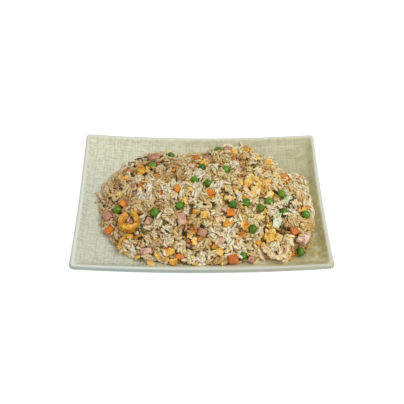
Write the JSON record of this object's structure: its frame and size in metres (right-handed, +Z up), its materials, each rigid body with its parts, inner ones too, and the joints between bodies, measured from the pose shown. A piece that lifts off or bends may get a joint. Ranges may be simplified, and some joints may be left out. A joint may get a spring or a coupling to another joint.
{
  "type": "fried rice plate",
  "caption": "Rectangular glazed stoneware platter with raised corners, filled with a loose low heap of fried rice with peas, diced ham, carrot, egg and greens",
  "frame": {"origin": "on the plane that the foot ring stands on, under the middle of the platter", "axes": "+X along the platter's long side, +Y from the front to the back as shown, +Z up"},
  "size_m": [0.255, 0.1674, 0.0391],
  "materials": {
    "glaze": "glossy pale green glaze over a low woven relief, plain round rim",
    "rice": "moist, lightly oiled cooked grains",
    "pea": "moist skin",
    "ham": "moist cut faces",
    "carrot": "moist cut faces",
    "egg": "soft omelette",
    "greens": "cooked pale green leaf"
  },
  "bodies": {
    "root": {"platter": "glaze", "rice_heap": "rice", "pea_01": "pea", "pea_02": "pea", "pea_03": "pea", "pea_04": "pea", "pea_05": "pea", "pea_06": "pea", "pea_07": "pea", "pea_08": "pea", "pea_09": "pea", "pea_10": "pea", "pea_11": "pea", "pea_12": "pea", "pea_13": "pea", "pea_14": "pea", "pea_15": "pea", "pea_16": "pea", "pea_17": "pea", "pea_18": "pea", "pea_19": "pea", "pea_20": "pea", "ham_01": "ham", "ham_02": "ham", "ham_03": "ham", "ham_04": "ham", "ham_05": "ham", "ham_06": "ham", "ham_07": "ham", "ham_08": "ham", "ham_09": "ham", "ham_10": "ham", "ham_11": "ham", "ham_12": "ham", "carrot_01": "carrot", "carrot_02": "carrot", "carrot_03": "carrot", "carrot_04": "carrot", "carrot_05": "carrot", "carrot_06": "carrot", "carrot_07": "carrot", "carrot_08": "carrot", "carrot_09": "carrot", "carrot_10": "carrot", "egg_curd_01": "egg", "egg_curd_02": "egg", "egg_curd_03": "egg", "egg_curd_04": "egg", "egg_curd_05": "egg", "egg_curd_06": "egg", "egg_curd_07": "egg", "egg_curd_08": "egg", "egg_curl_01": "egg", "egg_curl_02": "egg", "egg_curl_03": "egg", "egg_curl_04": "egg", "egg_flake_01": "egg", "egg_flake_02": "egg", "greens_01": "greens", "greens_02": "greens"}
  },
  "joints": []
}
